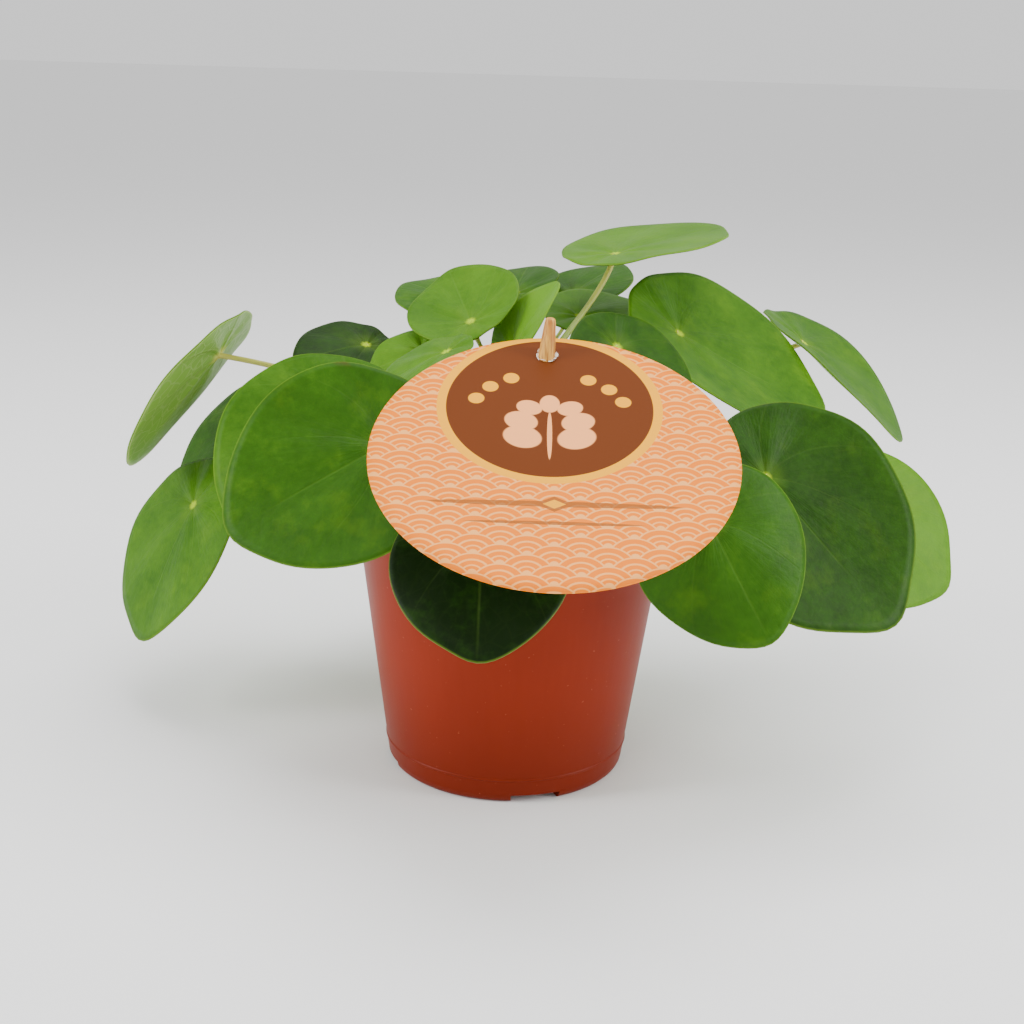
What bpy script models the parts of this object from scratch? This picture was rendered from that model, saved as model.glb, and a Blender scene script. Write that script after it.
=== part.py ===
"""A potted Chinese money plant: moulded nursery pot, soil, plant and a care card on a stick.

The plant is grown from its main stem. Each round leaf is a thin curled blade, carried near its
middle by a stalk that leaves the stem at a node and arches out to the underside of the blade.
"""
import math

import bmesh
import bpy
from mathutils import Matrix, Vector

MM = 0.001
GAP = 0.3                    # clearance left between touching pieces

# Nursery pot (a 12 cm pot), turned about Z
POT_HEIGHT = 105.0
RIM_RADIUS = 60.0
RIM_HEIGHT = 11.0
WALL = 1.2
WALL_RADIUS_LOW = 44.5       # outer radius at LOW_HEIGHT
LOW_HEIGHT = 8.0
TAPER = 0.133                # growth of the radius for each millimetre of height
FOOT_RADIUS = 41.6
FOOT_WIDTH = 2.4
FLOOR_UNDER = 3.6            # underside of the floor, above the table
FLOOR_TOP = 5.0
POT_STEPS = 56
NOTCH_COUNT = 4
NOTCH_TURN = -75.0           # direction of the first notch; the front is -90
NOTCH_WIDTH = 17.0
NOTCH_HEIGHT = 3.0
RING_HEIGHT = 9.2            # a fine raised line round the wall
DRAIN_COUNT = 6
DRAIN_RADIUS = 4.0
DRAIN_RING = 27.0

# Soil and main stem
SOIL_TOP = 92.0
STEM_FOOT = 80.0
STEM_TOP = 143.0
STEM_RADIUS = 4.5            # at the foot
STEM_RADIUS_TOP = 4.0
STEM_RADIUS_TIP = 2.6        # the growing tip is rounded off
STEM_LEAN = (1.5, 9.0)       # how far the stem leans in X and Y, LEAN_HEIGHT above LEAN_START
LEAN_START = 88.0
LEAN_HEIGHT = 55.0

# Card and the wooden stick it is pushed on to
CARD_RADIUS = 57.5
CARD_THICKNESS = 0.8
CARD_CENTRE = (12.5, -72.0, 134.0)
CARD_TILT = 28.0             # the near edge hangs down
STICK_TOP = (10.8, -30.0, 169.5)
STICK_FOOT = (3.5, -28.0, 62.0)
STICK_RADIUS = 2.8
STICK_TIP_LENGTH = 14.0
STICK_TIP_RADIUS = 1.75
STICK_CHAMFER = 1.2
STICK_END_RADIUS = 0.9

# Blades
BLADE_THICKNESS = 1.0
BLADE_STEPS = 24
BLADE_RINGS = (0.40, 0.76, 1.0)
JOINT_FROM_BASE = 0.28       # the stalk joins this share of the length from the base
TIP_REACH = 2 * (1 - JOINT_FROM_BASE)   # joint to tip, in half lengths
TIP_POINT = 0.06             # how far the tip stands out of the oval
TIP_SPREAD = 0.22
EGG = 0.06                   # the base half is broader than the tip half

# Leaves hang from the stem one above the other, the oldest lowest. A blade is nearly as wide as
# it is long, and curls in one of a few ways: how far its tip and base rise, and its sides.
NODE_LOW = 99.0
NODE_STEP = 1.5
ROUNDNESS = 0.94
CURLS = {
    "flat": (0.0, 0.05),
    "domed": (-0.12, 0.0),
    "cupped": (0.08, 0.15),
    "rolled": (-0.12, 0.14),
    "folded": (0.05, -0.25),
}

# Each leaf, from the lowest node up: name, where its stalk meets the blade (direction from the
# pot's axis, distance out, height), how the blade hangs (heading of the tip, dip of the tip, bank
# about the midrib), length, curl. A direction of 0 is +X and -90 is the front.
LEAVES = (
    ("low_left", (162, 131, 81), (230, 55, 10), 73, "domed"),
    ("side_right", (30, 95, 100), (30, 60, 0), 60, "domed"),
    ("inner_left", (145, 130, 105), (200, 50, -15), 72, "domed"),
    ("low_right", (-10, 120, 106), (-5, 35, 45), 60, "domed"),
    ("front", (-96, 85, 112), (-90, 35, 0), 58, "domed"),
    ("front_right", (-50, 95, 115), (-15, 60, 65), 58, "folded"),
    ("back_left", (120, 102, 114), (130, 50, 0), 56, "domed"),
    ("big_right", (-20, 91, 118), (-25, 45, 35), 84, "cupped"),
    ("back_right", (60, 95, 120), (60, 50, 0), 70, "domed"),
    ("back", (95, 90, 120), (95, 50, 0), 68, "domed"),
    ("front_left", (225, 60, 128), (200, 25, -45), 76, "rolled"),
    ("mid_left", (180, 62, 130), (220, 40, -20), 76, "rolled"),
    ("far_left", (155, 128, 138), (200, 50, 25), 73, "flat"),
    ("far_right", (38, 150, 143), (-25, 35, -5), 74, "rolled"),
    ("upper_left", (135, 83, 143), (215, 5, -20), 40, "domed"),
    ("crown_left", (190, 25, 153), (190, 25, -5), 36, "domed"),
    ("upper_right", (30, 70, 155), (5, 30, 25), 84, "cupped"),
    ("behind_card", (-15, 36, 157), (-45, 45, 5), 52, "domed"),
    ("crown_pale", (140, 46, 147), (190, 20, -25), 28, "domed"),
    ("crown_right", (65, 56, 158), (15, 0, 15), 50, "domed"),
    ("crown_back_left", (110, 70, 160), (135, -10, -15), 40, "domed"),
    ("crown_long", (76, 90, 161), (50, -20, 0), 42, "domed"),
    ("crown_round", (120, 35, 158), (105, -20, -25), 46, "cupped"),
    ("crown_back", (91, 85, 161), (80, -20, -10), 36, "domed"),
    ("top", (50, 55, 183), (30, -10, 0), 64, "flat"),
    ("crown_upright", (95, 20, 150), (20, -60, 0), 38, "rolled"),
)

# How a stalk grows: it leaves the stem at STALK_RISE plus half the slope to its blade, keeps each
# end's direction for a share of its span, and arrives a little from the blade's base side. A few
# stalks swing aside or arch higher, past a neighbour or over the rim.
STALK_RISE = 35.0
STALK_POINTS = 9
STALK_HABIT = {"higher": 0.0, "swing": 0.0, "start": 0.35, "end": 0.3, "lean": 0.45}
STALK_CHANGES = {
    "low_left": {"higher": 20.0, "swing": 15.0, "start": 0.5, "end": 0.15, "lean": -0.2},
    "side_right": {"higher": 10.0, "start": 0.5},
    "far_left": {"higher": -25.0},
    "crown_round": {"swing": 20.0},
    "crown_long": {"swing": 10.0},
}
LARGE_LEAF = 55.0            # leaves longer than this have the thicker stalk
STALK_RADII = {True: (1.5, 1.1), False: (1.1, 0.8)}

COLOURS = {
    "pot": ((0.43, 0.10, 0.05), 0.55),
    "soil": ((0.06, 0.035, 0.02), 0.95),
    "stem": ((0.16, 0.12, 0.05), 0.7),
    "card": ((0.95, 0.40, 0.13), 0.5),
    "stick": ((0.75, 0.52, 0.28), 0.6),
    "blade": ((0.08, 0.24, 0.04), 0.4),
    "stalk": ((0.30, 0.40, 0.08), 0.45),
}


def clear_scene():
    for obj in list(bpy.data.objects):
        bpy.data.objects.remove(obj, do_unlink=True)


def make_collection(name):
    collection = bpy.data.collections.new(name)
    bpy.context.scene.collection.children.link(collection)
    return collection


def make_material(name, kind):
    colour, roughness = COLOURS[kind]
    material = bpy.data.materials.new(name)
    material.use_nodes = True
    shader = material.node_tree.nodes["Principled BSDF"]
    shader.inputs["Base Color"].default_value = (*colour, 1.0)
    shader.inputs["Roughness"].default_value = roughness
    return material


def add_object(name, data, collection, kind=None):
    obj = bpy.data.objects.new(name, data)
    collection.objects.link(obj)
    if kind:
        data.materials.append(make_material(name, kind))
    return obj


def smooth(mesh, angle=35.0):
    mesh.shade_smooth()
    mesh.set_sharp_from_angle(angle=math.radians(angle))


def turned(name, profile, collection, kind, steps):
    """A solid turned about Z from a closed profile that runs down its outer side."""
    bm = bmesh.new()
    points = [bm.verts.new((r * MM, 0.0, z * MM)) for r, z in profile]
    for i, point in enumerate(points):
        bm.edges.new((point, points[(i + 1) % len(points)]))
    mesh = bpy.data.meshes.new(name)
    bm.to_mesh(mesh)
    bm.free()
    obj = add_object(name, mesh, collection, kind)
    screw = obj.modifiers.new("Turn", "SCREW")
    screw.steps = screw.render_steps = steps
    screw.use_merge_vertices = True
    screw.merge_threshold = 0.00001
    screw.use_smooth_shade = True
    return obj


def tube(name, points, radii, collection, kind, sides=2):
    """A round tube along points, in millimetres, with a radius at each point."""
    curve = bpy.data.curves.new(name, "CURVE")
    curve.dimensions = "3D"
    curve.bevel_depth = MM
    curve.bevel_resolution = sides
    curve.use_fill_caps = True
    spline = curve.splines.new("POLY")
    spline.points.add(len(points) - 1)
    for target, point, radius in zip(spline.points, points, radii):
        target.co = (*(point * MM), 1.0)
        target.radius = radius
    return add_object(name, curve, collection, kind)


def cutter(name, mesh_maker, matrix, collection):
    bm = bmesh.new()
    mesh_maker(bm)
    mesh = bpy.data.meshes.new(name)
    bm.to_mesh(mesh)
    bm.free()
    obj = add_object(name, mesh, collection)
    obj.matrix_world = matrix
    obj.hide_render = True
    obj.display_type = "WIRE"
    return obj


def cut(obj, tool):
    boolean = obj.modifiers.new("Cut " + tool.name, "BOOLEAN")
    boolean.operation = "DIFFERENCE"
    boolean.solver = "EXACT"
    boolean.object = tool


# --- pot and soil ---

def wall_radius(height):
    return WALL_RADIUS_LOW + TAPER * (height - LOW_HEIGHT)


def make_pot(parts, cutters):
    under_rim = POT_HEIGHT - RIM_HEIGHT
    ring = RING_HEIGHT
    inside = under_rim - 0.6
    profile = [
        (RIM_RADIUS - 0.8, POT_HEIGHT), (RIM_RADIUS, POT_HEIGHT - 0.8),
        (RIM_RADIUS, under_rim + 0.6), (RIM_RADIUS - 0.6, under_rim),
        (wall_radius(under_rim) + 0.5, under_rim - 0.2), (wall_radius(under_rim), under_rim - 0.8),
        (wall_radius(ring + 0.6), ring + 0.6), (wall_radius(ring) + 0.35, ring),
        (wall_radius(ring - 0.5), ring - 0.5), (wall_radius(4.0), 4.0),
        (wall_radius(1.4) - 0.4, 1.4), (FOOT_RADIUS + 0.6, 0.3), (FOOT_RADIUS, 0.0),
        (FOOT_RADIUS - FOOT_WIDTH, 0.0), (FOOT_RADIUS - FOOT_WIDTH, FLOOR_UNDER),
        (5.0, FLOOR_UNDER), (5.0, FLOOR_TOP), (wall_radius(FLOOR_TOP) - 2.2, FLOOR_TOP),
        (wall_radius(6.2) - WALL, 6.2), (wall_radius(inside) - WALL, inside),
        (RIM_RADIUS - WALL, under_rim + 1.2), (RIM_RADIUS - WALL, POT_HEIGHT),
    ]
    pot = turned("pot", profile, parts, "pot", POT_STEPS)

    def notch_block(bm):
        bmesh.ops.create_cube(bm, size=1.0)
        bmesh.ops.scale(bm, vec=(12 * MM, NOTCH_WIDTH * MM, 2 * NOTCH_HEIGHT * MM), verts=bm.verts)
        rounded = [e for e in bm.edges
                   if abs(e.verts[0].co.x - e.verts[1].co.x) > 5 * MM and e.verts[0].co.z > 0]
        bmesh.ops.bevel(bm, geom=rounded, offset=1.6 * MM, segments=3, affect="EDGES", profile=0.5)

    for i in range(NOTCH_COUNT):
        turn = Matrix.Rotation(math.radians(NOTCH_TURN + i * 360 / NOTCH_COUNT), 4, "Z")
        place = turn @ Matrix.Translation((FOOT_RADIUS * MM, 0, 0))
        cut(pot, cutter(f"notch_cutter_{i + 1}", notch_block, place, cutters))

    def drain_pin(bm):
        bmesh.ops.create_cone(bm, cap_ends=True, segments=16, radius1=DRAIN_RADIUS * MM,
                              radius2=DRAIN_RADIUS * MM, depth=6 * MM)

    for i in range(DRAIN_COUNT):
        turn = Matrix.Rotation(math.radians(i * 360 / DRAIN_COUNT), 4, "Z")
        place = turn @ Matrix.Translation((DRAIN_RING * MM, 0, FLOOR_TOP * MM))
        cut(pot, cutter(f"drain_cutter_{i + 1}", drain_pin, place, cutters))


def make_soil(parts, cutters):
    inner = WALL + GAP
    low = FLOOR_TOP + GAP
    edge = SOIL_TOP - 1.0
    profile = [
        (0.0, SOIL_TOP), (20.0, SOIL_TOP - 0.2), (40.0, SOIL_TOP + 0.3), (50.0, SOIL_TOP - 0.3),
        (wall_radius(edge) - inner, edge), (wall_radius(8.0) - inner, 8.0),
        (wall_radius(low) - inner - 2.2, low), (0.0, low),
    ]
    bm = bmesh.new()
    points = [bm.verts.new((r * MM, 0.0, z * MM)) for r, z in profile]
    for upper, lower in zip(points, points[1:]):
        bm.edges.new((upper, lower))
    mesh = bpy.data.meshes.new("potting_soil")
    bm.to_mesh(mesh)
    bm.free()
    soil = add_object("potting_soil", mesh, parts, "soil")
    screw = soil.modifiers.new("Turn", "SCREW")
    screw.steps = screw.render_steps = 40
    screw.use_merge_vertices = True
    screw.merge_threshold = 0.00001

    def bore(foot, top, radius):
        axis = (top - foot) * MM
        upright = Vector((0, 0, 1)).rotation_difference(axis).to_matrix().to_4x4()
        place = Matrix.Translation((foot + top) * MM / 2) @ upright

        def pin(bm):
            bmesh.ops.create_cone(bm, cap_ends=True, segments=16, radius1=radius * MM,
                                  radius2=radius * MM, depth=axis.length)
        return pin, place

    foot, top = Vector(STICK_FOOT), Vector(STICK_TOP)
    below = foot - (top - foot).normalized() * GAP
    pin, place = bore(below, top, STICK_RADIUS + GAP + 0.1)
    cut(soil, cutter("stick_bore", pin, place, cutters))
    pin, place = bore(Vector((0, 0, STEM_FOOT - GAP)), Vector((0, 0, POT_HEIGHT)),
                      STEM_RADIUS + GAP + 0.1)
    cut(soil, cutter("stem_bore", pin, place, cutters))


# --- plant ---

def stem_axis(height):
    rise = max(0.0, height - LEAN_START) / LEAN_HEIGHT
    return Vector((STEM_LEAN[0] * rise ** 2, STEM_LEAN[1] * rise ** 2, height))


def stem_radius(height):
    share = (height - STEM_FOOT) / (STEM_TOP - STEM_FOOT)
    return STEM_RADIUS + (STEM_RADIUS_TOP - STEM_RADIUS) * share


def make_main_stem(parts):
    steps = 10
    heights = [STEM_FOOT + (STEM_TOP - STEM_FOOT) * i / steps for i in range(steps + 1)]
    radii = [stem_radius(z) for z in heights]
    radii[-1] = STEM_RADIUS_TIP
    tube("main_stem", [stem_axis(z) for z in heights], radii, parts, "stem", sides=4)


def leaf_joint(place):
    """Where a stalk meets its blade."""
    direction, out, height = place
    turn = math.radians(direction)
    return Vector((out * math.cos(turn), out * math.sin(turn), height))


def blade_axes(heading, dip, bank):
    """Directions of the tip, the left side and the upper face of a blade."""
    h, d, b = (math.radians(a) for a in (heading, dip, bank))
    tip = Vector((math.cos(h) * math.cos(d), math.sin(h) * math.cos(d), -math.sin(d)))
    level = Vector((-math.sin(h), math.cos(h), 0))
    side = math.cos(b) * level + math.sin(b) * tip.cross(level)
    return tip, side, tip.cross(side)


def blade_point(size, curl, turn, reach):
    """A point of the blade, from the joint: turn 0 is the tip, reach 1 the edge."""
    length, width = size
    joint = 2 * JOINT_FROM_BASE - 1
    c, s = math.cos(turn), math.sin(turn)
    edge = -joint * c + math.sqrt((joint * c) ** 2 + 1 - joint ** 2)
    from_tip = (turn + math.pi) % math.tau - math.pi
    edge *= 1 + TIP_POINT * math.exp(-(from_tip / TIP_SPREAD) ** 2)
    along = edge * reach * c
    across = edge * reach * s * (1 - EGG * (joint + along))
    lift = curl[0] * (along / TIP_REACH) ** 2 + curl[1] * across ** 2
    return Vector((along * length / 2, across * width / 2, lift * (length + width) / 4))


def make_blade(leaf, parts):
    name, place, pose, length, curl = leaf
    size = (length, length * ROUNDNESS)
    bm = bmesh.new()
    chain = [bm.verts.new((0, 0, 0))] + [bm.verts.new((r, 0, 0)) for r in BLADE_RINGS]
    edges = [bm.edges.new(pair) for pair in zip(chain, chain[1:])]
    bmesh.ops.spin(bm, geom=chain + edges, cent=(0, 0, 0), axis=(0, 0, 1), angle=math.tau,
                   steps=BLADE_STEPS, use_merge=True)
    bmesh.ops.remove_doubles(bm, verts=bm.verts, dist=0.0001)
    for vert in bm.verts:
        reach = vert.co.length
        turn = math.atan2(vert.co.y, vert.co.x)
        vert.co = blade_point(size, CURLS[curl], turn, reach) * MM
    bmesh.ops.recalc_face_normals(bm, faces=bm.faces)
    if sum(f.normal.z for f in bm.faces) < 0:
        bmesh.ops.reverse_faces(bm, faces=bm.faces)
    mesh = bpy.data.meshes.new(name)
    bm.to_mesh(mesh)
    bm.free()
    smooth(mesh)
    blade = add_object(f"leaf_{name}", mesh, parts, "blade")
    tip, side, up = blade_axes(*pose)
    blade.matrix_world = (Matrix.Translation(leaf_joint(place) * MM)
                          @ Matrix((tip, side, up)).transposed().to_4x4())
    shell = blade.modifiers.new("Thickness", "SOLIDIFY")
    shell.thickness = BLADE_THICKNESS * MM
    shell.offset = 0.0


def stalk_route(leaf, node, radius):
    """Points from the stem's side to the underside of the blade, on one smooth arch."""
    name, place, pose, _, _ = leaf
    habit = {**STALK_HABIT, **STALK_CHANGES.get(name, {})}
    tip, _, up = blade_axes(*pose)
    joint = leaf_joint(place)
    root = stem_axis(node)
    out = joint - root
    heading = math.atan2(out.y, out.x) + math.radians(habit["swing"])
    slope = math.atan2(out.z, out.to_2d().length)
    rise = math.radians(STALK_RISE + habit["higher"]) + slope / 2
    level = Vector((math.cos(heading), math.sin(heading), 0))
    leave = level * math.cos(rise) + Vector((0, 0, math.sin(rise)))
    start = root + level * (stem_radius(node) + GAP + radius * math.sin(rise))
    arrive = (0.8 * up + habit["lean"] * tip).normalized()
    end = joint - up * (BLADE_THICKNESS / 2 + GAP + 0.05) - arrive * radius * 0.6
    span = (end - start).length
    knots = (start, start + leave * span * habit["start"], end - arrive * span * habit["end"], end)
    points = []
    for i in range(STALK_POINTS):
        t = i / (STALK_POINTS - 1)
        weights = ((1 - t) ** 3, 3 * t * (1 - t) ** 2, 3 * t * t * (1 - t), t ** 3)
        points.append(sum((w * k for w, k in zip(weights, knots)), Vector()))
    return points


def make_stalk(leaf, node, parts):
    thick, thin = STALK_RADII[leaf[3] > LARGE_LEAF]
    points = stalk_route(leaf, node, thick)
    radii = [thick + (thin - thick) * i / (len(points) - 1) for i in range(len(points))]
    tube(f"stalk_{leaf[0]}", points, radii, parts, "stalk")


# --- card and stick ---

def stick_points():
    foot, top = Vector(STICK_FOOT), Vector(STICK_TOP)
    axis = (top - foot).normalized()
    shoulder = top - axis * STICK_TIP_LENGTH
    points = [foot, foot.lerp(shoulder, 0.5), shoulder, top - axis * STICK_CHAMFER, top]
    radii = [STICK_RADIUS] * 3 + [STICK_TIP_RADIUS, STICK_END_RADIUS]
    return points, radii


def make_card(parts, cutters):
    bm = bmesh.new()
    bmesh.ops.create_cone(bm, cap_ends=True, segments=72, radius1=CARD_RADIUS * MM,
                          radius2=CARD_RADIUS * MM, depth=CARD_THICKNESS * MM)
    mesh = bpy.data.meshes.new("care_card")
    bm.to_mesh(mesh)
    bm.free()
    card = add_object("care_card", mesh, parts, "card")
    card.matrix_world = (Matrix.Translation(Vector(CARD_CENTRE) * MM)
                         @ Matrix.Rotation(math.radians(CARD_TILT), 4, "X"))
    foot, top = Vector(STICK_FOOT), Vector(STICK_TOP)
    upright = Vector((0, 0, 1)).rotation_difference(top - foot).to_matrix().to_4x4()
    place = Matrix.Translation((foot + top) * MM / 2) @ upright

    def pin(bm):
        bmesh.ops.create_cone(bm, cap_ends=True, segments=24, radius1=(STICK_RADIUS + GAP) * MM,
                              radius2=(STICK_RADIUS + GAP) * MM, depth=(top - foot).length * MM)
    cut(card, cutter("card_bore", pin, place, cutters))


def make_stick(parts):
    points, radii = stick_points()
    tube("card_stick", points, radii, parts, "stick", sides=4)


def main():
    clear_scene()
    parts = make_collection("Potted Chinese money plant")
    cutters = make_collection("Cutters")
    make_pot(parts, cutters)
    make_soil(parts, cutters)
    make_main_stem(parts)
    for order, leaf in enumerate(LEAVES):
        make_blade(leaf, parts)
        make_stalk(leaf, NODE_LOW + NODE_STEP * order, parts)
    make_card(parts, cutters)
    make_stick(parts)


main()
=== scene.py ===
"""Potted Chinese money plant: pot, soil, stem, leaves, care card and stick, with a plain stage."""

import math
import random

import bmesh
import bpy
from bpy.props import FloatProperty, FloatVectorProperty, IntProperty, PointerProperty
from mathutils import Matrix, Vector, noise


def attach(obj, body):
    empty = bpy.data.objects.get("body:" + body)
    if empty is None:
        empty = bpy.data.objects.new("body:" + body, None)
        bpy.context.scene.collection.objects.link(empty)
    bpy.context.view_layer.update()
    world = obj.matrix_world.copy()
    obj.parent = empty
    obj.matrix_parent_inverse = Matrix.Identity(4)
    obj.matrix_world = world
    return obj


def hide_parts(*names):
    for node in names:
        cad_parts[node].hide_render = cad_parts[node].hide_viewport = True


bl_info = {
    "name": "Potted Chinese money plant",
    "version": (1, 0, 0),
    "blender": (4, 5, 0),
    "location": "3D View > Sidebar > Money Plant",
    "description": "Builds a potted Chinese money plant with a care card on a stick",
    "category": "Add Mesh",
}

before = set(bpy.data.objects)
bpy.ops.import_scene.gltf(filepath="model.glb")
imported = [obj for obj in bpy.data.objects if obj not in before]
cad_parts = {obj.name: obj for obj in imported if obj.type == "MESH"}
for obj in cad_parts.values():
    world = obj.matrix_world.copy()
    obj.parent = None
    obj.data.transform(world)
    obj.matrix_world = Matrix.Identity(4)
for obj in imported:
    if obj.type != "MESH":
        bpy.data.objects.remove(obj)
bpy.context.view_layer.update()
MM = 0.001

# --- driving sizes, in millimetres, shared by more than one piece ---

POT_HEIGHT = 105.0
RIM_RADIUS = 60.0
RIM_HEIGHT = 11.0
WALL = 1.2
LOW_HEIGHT = 8.0
WALL_RADIUS_LOW = 44.5
TAPER = 0.133
FOOT_RADIUS = 41.6
FOOT_WIDTH = 2.4
FLOOR_UNDER = 3.6
FLOOR_TOP = 5.0
NOTCH_TURN = -75.0
NOTCH_WIDTH = 17.0
NOTCH_HEIGHT = 3.0
RING_HEIGHT = 9.2            # a fine raised line round the wall
DRAIN_COUNT = 6
DRAIN_RADIUS = 4.0
DRAIN_RING = 27.0            # the drain holes' distance from the middle
CENTRE_HOLE = 5.0
SOIL_TOP = 92.0

STEM_FOOT = 84.0
STEM_TOP = 143.0
STEM_RADIUS = 4.5            # at STEM_SOIL_FOOT
STEM_SOIL_FOOT = 80.0
STEM_RADIUS_TOP = 4.0
STEM_LEAN = (1.5, 9.0)
LEAN_START = 88.0
LEAN_HEIGHT = 55.0

CARD_CENTRE = Vector((12.5, -72.0, 134.0))
CARD_TILT = 28.0             # the near edge hangs down
STICK_TOP = Vector((10.8, -30.0, 169.5))
STICK_FOOT = Vector((3.5, -28.0, 62.0))
STICK_RADIUS = 2.8
STICK_TIP_LENGTH = 14.5

JOINT_FROM_BASE = 0.28
TIP_REACH = 2 * (1 - JOINT_FROM_BASE)   # joint to tip, in half lengths
TIP_POINT = 0.06
TIP_SPREAD = 0.22
EGG = 0.06

# Leaves hang from the stem one above the other, the oldest lowest. A blade is nearly as wide as
# it is long, and curls in one of a few ways: how far its tip and base rise, and its sides.
NODE_LOW = 99.0
NODE_STEP = 1.5
ROUNDNESS = 0.94
CURLS = {
    "flat": (0.0, 0.05),
    "domed": (-0.12, 0.0),
    "cupped": (0.08, 0.15),
    "rolled": (-0.12, 0.14),
    "folded": (0.05, -0.25),
}

# Each leaf, from the lowest node up: name, where its stalk meets the blade (direction from the
# pot's axis, distance out, height), how the blade hangs (heading of the tip, dip of the tip, bank
# about the midrib), length, curl, and tone with painted shade (0 deep green, 1 the green of a new
# leaf). The tone is partly the leaf's age and partly painted shade: front, inner_left and
# behind_card lie in the shadow of the card and of other leaves, so they are set darker.
LEAVES = (
    ("low_left", (162, 131, 81), (230, 55, 10), 73, "domed", 0.62),
    ("side_right", (30, 95, 100), (30, 60, 0), 60, "domed", 0.45),
    ("inner_left", (145, 130, 105), (200, 50, -15), 72, "domed", 0.30),
    ("low_right", (-10, 120, 106), (-5, 35, 45), 60, "domed", 0.85),
    # front's tone of 0 is painted shadow: this leaf hangs in the card's shadow.
    ("front", (-96, 85, 112), (-90, 35, 0), 58, "domed", 0.00),
    ("front_right", (-50, 95, 115), (-15, 60, 65), 58, "folded", 0.45),
    ("back_left", (120, 102, 114), (130, 50, 0), 56, "domed", 0.40),
    ("big_right", (-20, 91, 118), (-25, 45, 35), 84, "cupped", 0.25),
    ("back_right", (60, 95, 120), (60, 50, 0), 70, "domed", 0.50),
    ("back", (95, 90, 120), (95, 50, 0), 68, "domed", 0.35),
    ("front_left", (225, 60, 128), (200, 25, -45), 76, "rolled", 0.48),
    ("mid_left", (180, 62, 130), (220, 40, -20), 76, "rolled", 0.60),
    ("far_left", (155, 128, 138), (200, 50, 25), 73, "flat", 0.70),
    ("far_right", (38, 150, 143), (-25, 35, -5), 74, "rolled", 0.58),
    ("upper_left", (135, 83, 143), (215, 5, -20), 40, "domed", 0.15),
    ("crown_left", (190, 25, 153), (190, 25, -5), 36, "domed", 0.70),
    ("upper_right", (30, 70, 155), (5, 30, 25), 84, "cupped", 0.62),
    ("behind_card", (-15, 36, 157), (-45, 45, 5), 52, "domed", 0.30),
    ("crown_pale", (140, 46, 147), (190, 20, -25), 28, "domed", 0.80),
    ("crown_right", (65, 56, 158), (15, 0, 15), 50, "domed", 0.70),
    ("crown_back_left", (110, 70, 160), (135, -10, -15), 40, "domed", 0.55),
    ("crown_long", (76, 90, 161), (50, -20, 0), 42, "domed", 0.40),
    ("crown_round", (120, 35, 158), (105, -20, -25), 46, "cupped", 0.72),
    ("crown_back", (91, 85, 161), (80, -20, -10), 36, "domed", 0.40),
    ("top", (50, 55, 183), (30, -10, 0), 64, "flat", 0.80),
    ("crown_upright", (95, 20, 150), (20, -60, 0), 38, "rolled", 1.0),
)

# How a stalk grows: it leaves the stem at STALK_RISE plus half the slope to its blade, keeps each
# end's direction for a share of its span, and arrives a little from the blade's base side. A few
# stalks swing aside or arch higher, past a neighbour or over the rim.
STALK_RISE = 35.0
STALK_HABIT = {"higher": 0.0, "swing": 0.0, "start": 0.35, "end": 0.3, "lean": 0.45}
STALK_CHANGES = {
    "low_left": {"higher": 20.0, "swing": 15.0, "start": 0.5, "end": 0.15, "lean": -0.2},
    "side_right": {"higher": 10.0, "start": 0.5},
    "far_left": {"higher": -25.0},
    "crown_round": {"swing": 20.0},
    "crown_long": {"swing": 10.0},
}
LARGE_LEAF = 55.0

# Small brown blemishes: leaf, share of the way to the edge, turn from the tip, size
BLEMISHES = {
    "front_left": (1.0, -92.0, 1.4),
    "far_left": (0.95, -25.0, 2.0),
}


def srgb(red, green, blue):
    """A colour given the way screens show it, as the linear values that shaders use."""
    def linear(v):
        v /= 255
        return v / 12.92 if v <= 0.04045 else ((v + 0.055) / 1.055) ** 2.4
    return (linear(red), linear(green), linear(blue))


# --- settings ---

def colour_setting(name, description, value):
    return FloatVectorProperty(name=name, description=description, subtype="COLOR", size=3,
                               min=0, max=1, default=value)


class PotSettings(bpy.types.PropertyGroup):
    colour: colour_setting("Plastic", "Colour of the moulded pot", srgb(126, 34, 4))
    steps: IntProperty(name="Steps", description="Steps round the pot", default=160, min=24)


class LeafSettings(bpy.types.PropertyGroup):
    # The old-leaf colour is also painted shade: leaves whose tone is set near 0 because they lie in
    # shadow take it.
    old: colour_setting("Old leaf", "Upper side of an old leaf", srgb(8, 28, 0))
    grown: colour_setting("Grown leaf", "Upper side of a grown leaf", srgb(46, 87, 8))
    young: colour_setting("Young leaf", "Upper side of a young leaf", srgb(88, 134, 22))
    under: colour_setting("Underside", "Underside of a leaf", srgb(128, 176, 68))
    thickness: FloatProperty(name="Thickness", description="Thickness of a blade",
                             subtype="DISTANCE", default=0.6 * MM)
    wave: FloatProperty(name="Wave", description="Height of the waves along a blade's edge",
                        subtype="DISTANCE", default=0.7 * MM)


class CardSettings(bpy.types.PropertyGroup):
    radius: FloatProperty(name="Radius", description="Radius of the card",
                          subtype="DISTANCE", default=57.5 * MM)
    orange: colour_setting("Waves", "Bands of the wave pattern", srgb(240, 124, 0))
    peach: colour_setting("Ground", "Ground of the wave pattern", srgb(250, 172, 92))
    brown: colour_setting("Disc", "Printed disc", srgb(100, 48, 12))
    yellow: colour_setting("Ring", "Printed ring", srgb(246, 168, 0))


class StageSettings(bpy.types.PropertyGroup):
    floor: colour_setting("Floor", "Colour of the floor", (0.9, 0.9, 0.9))
    light: FloatProperty(name="Light", description="Strength of the lamps", default=1.0)


SETTINGS = {"pot": PotSettings, "leaf": LeafSettings, "card": CardSettings, "stage": StageSettings}


def settings(kind):
    return getattr(bpy.context.scene, f"money_plant_{kind}")


# --- shader maths ---

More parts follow.
